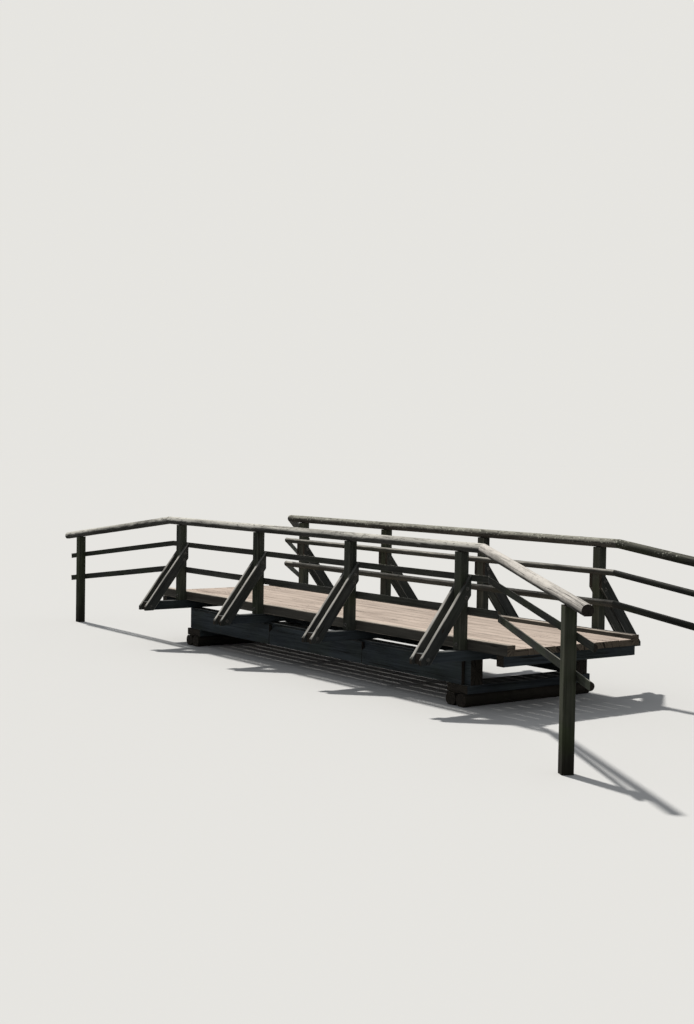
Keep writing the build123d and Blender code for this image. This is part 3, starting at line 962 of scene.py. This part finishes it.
# the poles turn pale from a little below their sides upwards and stay dark beneath: partly bleaching, partly
# painted sunlight above and painted shade below
rail_pole = wood(
    "bleached sunlit pole", linear(88, 87, 83), linear(48, 48, 46), linear(220, 217, 207),
    bleach_and_sunlight=0.97, sun_from=-0.1, sun_to=0.22, lichen=0.35, contrast=0.65, flecks=0.55,
)
pale_pole = wood(
    "palest pole", linear(96, 94, 90), linear(56, 55, 53), linear(228, 222, 214),
    bleach_and_sunlight=0.97, sun_from=-0.1, sun_to=0.22, cracks=0.3, lichen=0.2, contrast=0.6, flecks=0.25,
)
far_pole = wood(
    "lichen-covered pole", linear(84, 83, 78), linear(48, 47, 44), linear(168, 166, 154),
    bleach_and_sunlight=0.92, sun_from=0.0, sun_to=0.4, lichen=1.0, contrast=0.65, flecks=0.7,
)
# the far right wing's pole is darker: partly more algae and dirt, partly painted shade of the trees over it
shaded_pole = wood(
    "shaded pole", linear(70, 71, 65), linear(40, 41, 37), linear(112, 111, 102),
    bleach_and_sunlight=0.85, sun_from=0.1, sun_to=0.6, cracks=0.6, green=0.4, lichen=0.6, contrast=0.65,
    flecks=0.6,
)
rail_wood = wood(
    "half-round rail wood", linear(84, 84, 80), linear(46, 46, 44), linear(206, 202, 192),
    bleach_and_sunlight=0.9, sun_to=0.6, green=0.2, contrast=0.6, flecks=0.4,
)
HALF_LOG = {"pith": (1.0, 0.0), "off_pith": 0.004}
for word, pole in (("near", rail_pole), ("far", far_pole)):
    rebuild("top_rail_" + word, 111, pole, dark_end, "rail_pole")
    rebuild("lower_rails_" + word, 121, rail_wood, pale_end, "frame_wood", **HALF_LOG)


# tilt of each of the two nails from level, and how far along it is from the post's middle
RAIL_NAILS = ((-0.35, -0.012), (0.35, 0.014))


def rail_nail_places(node, posts):
    """Two nails through each half-round rail of a node into each of the posts given."""
    rails = bpy.data.objects[node + "_wood"]
    places = []
    for solid in cad_solids(node):
        run, back, across = section_frame(solid)
        depths, widths = solid["points"] @ back, solid["points"] @ across
        heart = back * depths.max() + across * (widths.max() + widths.min()) / 2
        for post in posts:
            low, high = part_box(post)
            to_post = np.array([(low[k] + high[k]) / 2 for k in (0, 1)]) - heart[:2]
            along = to_post @ run[:2] / (run[:2] @ run[:2])
            for tilt, aside in RAIL_NAILS:
                outward = across * math.sin(tilt) - back * math.cos(tilt)
                point = heart + run * (along + aside) + outward * (depths.max() - depths.min())
                places += seat(rails, point, outward)
    return places


for word in ("near", "far"):
    node = "lower_rails_" + word
    posts = ["post_" + word + "_" + str(number) for number in range(1, 5)]
    nails("rail_nails_" + word, rail_nail_places(node, posts), 15)

# Wings
# At each corner the three rails turn aside or run straight on, and slope down to a lower
# squared post. The poles are bleached where the sun reaches them, which is partly painted
# sunlight, and the rest stays dark, partly painted shade.

foot_wood = wood(
    "wing post wood", linear(84, 86, 74), linear(46, 48, 41), linear(140, 138, 124),
    bleach_and_sunlight=0.7, cracks=0.7, green=0.6, contrast=0.6, knots=0.6, damp_to=0.5,
)
# the half-round wing rails are darker than those between the posts: painted shade of the top rail above them
wing_wood_in_painted_shade = wood(
    "wing rail wood", linear(56, 58, 56), linear(33, 34, 33), linear(160, 157, 148),
    bleach_and_sunlight=0.7, sun_from=0.4, sun_to=0.85, green=0.3, contrast=0.6,
)
wing_poles = {
    "near_right": pale_pole, "far_right": shaded_pole, "near_left": rail_pole, "far_left": far_pole
}
for number, corner in enumerate(wing_poles):
    rebuild("wing_post_" + corner, 130 + number, foot_wood, dark_end, "frame_wood")
    rebuild("wing_top_rail_" + corner, 140 + number, wing_poles[corner], dark_end, "rail_pole")
    lower_rails = "wing_lower_rails_" + corner
    rebuild(lower_rails, 150 + number, wing_wood_in_painted_shade, dark_end, "frame_wood", **HALF_LOG)
    nails("wing_nails_" + corner, rail_nail_places(lower_rails, ["wing_post_" + corner]), 16)

# Floor, light and camera
# A pale matt floor and an even backdrop of the same tone. A soft high light comes from behind
# the left end, as in the photograph, and the camera has the photograph's view.

FLOOR_RADIUS = 600.0
bpy.ops.mesh.primitive_circle_add(vertices=96, radius=FLOOR_RADIUS, fill_type="NGON")
floor = bpy.context.object
floor.name = "floor"
floor_material, n = new_material("pale floor")


def seen_rays(n):
    """1 for what the camera sees, straight or off metal, and 0 for light on the object."""
    path = n.add("ShaderNodeLightPath").node
    seen = n.maths("MAXIMUM", path.outputs["Is Camera Ray"], path.outputs["Is Glossy Ray"])
    return n.maths("MAXIMUM", seen, path.outputs["Is Transmission Ray"])


FLOOR_IN_LIGHT = (0.17, 0.17, 0.165, 1.0)
FLOOR_SEEN = (0.72, 0.72, 0.71, 1.0)
shader = n.tree.nodes.new("ShaderNodeBsdfPrincipled")
n.give(shader.inputs["Base Color"], n.mix(seen_rays(n), FLOOR_IN_LIGHT, FLOOR_SEEN))
shader.inputs["Roughness"].default_value = 1.0
shader.inputs["Specular IOR Level"].default_value = 0.0
output = n.tree.nodes.new("ShaderNodeOutputMaterial")
n.give(output.inputs["Surface"], shader.outputs[0])
floor.data.materials.append(floor_material)

SKY_IN_LIGHT = (0.93, 0.96, 1.0, 1.0)
SKY_STRENGTH = 0.3
SKY_SEEN = (0.794, 0.784, 0.752, 1.0)
world = bpy.data.worlds.new("studio")
bpy.context.scene.world = world
world.use_nodes = True
n = Nodes(world.node_tree)
glow = n.add("ShaderNodeBackground", SKY_IN_LIGHT, SKY_STRENGTH)
seen = n.add("ShaderNodeBackground", SKY_SEEN, 1.0)
sky = n.add("ShaderNodeMixShader", seen_rays(n), glow, seen)
n.give(n.tree.nodes.new("ShaderNodeOutputWorld").inputs["Surface"], sky)

SUN_STRENGTH = 3.2
SUN_SPREAD = math.radians(3)
SUN_COLOUR = (1.0, 0.97, 0.92)
sun = bpy.data.lights.new("high soft light", "SUN")
sun.energy = SUN_STRENGTH
sun.angle = SUN_SPREAD
sun.color = SUN_COLOUR
sun_object = bpy.data.objects.new("high soft light", sun)
sun_object.rotation_mode = "QUATERNION"
sun_object.rotation_quaternion = SUNNY_SIDE.to_track_quat("Z", "Y")
bpy.context.collection.objects.link(sun_object)

# the photograph's view: place of the camera from the middle of the deck at the height of
# its edges, its heading, tilt and roll in radians, and its focal length in pixels
CAMERA_FROM_DECK = Vector((15.5676, -11.686, 2.0235))
HEADING = 0.6277
TILT = 0.0376
ROLL = 0.0156
FOCAL_PIXELS = 1442.3
PICTURE_HEIGHT = 1024
SENSOR = 36.0
forward = Vector((
    -math.cos(HEADING) * math.cos(TILT), math.sin(HEADING) * math.cos(TILT), -math.sin(TILT)
))
level_right = forward.cross(Vector((0, 0, 1))).normalized()
level_up = level_right.cross(forward)
right = level_right * math.cos(ROLL) + level_up * math.sin(ROLL)
up = level_up * math.cos(ROLL) - level_right * math.sin(ROLL)
lens = bpy.data.cameras.new("photo view")
lens.sensor_width = SENSOR
lens.sensor_fit = "AUTO"
lens.lens = FOCAL_PIXELS / PICTURE_HEIGHT * SENSOR
camera = bpy.data.objects.new("photo view", lens)
turn = Matrix((right, up, -forward)).transposed().to_4x4()
near_edge, far_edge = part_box("edge_timber_near"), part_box("edge_timber_far")
deck_middle = Vector((
    (near_edge[0][0] + near_edge[1][0]) / 2, (near_edge[0][1] + far_edge[1][1]) / 2, near_edge[1][2]
))
camera.matrix_world = Matrix.Translation(deck_middle + CAMERA_FROM_DECK) @ turn
bpy.context.collection.objects.link(camera)
bpy.context.scene.camera = camera

scene = bpy.context.scene
scene.view_settings.view_transform = "Standard"
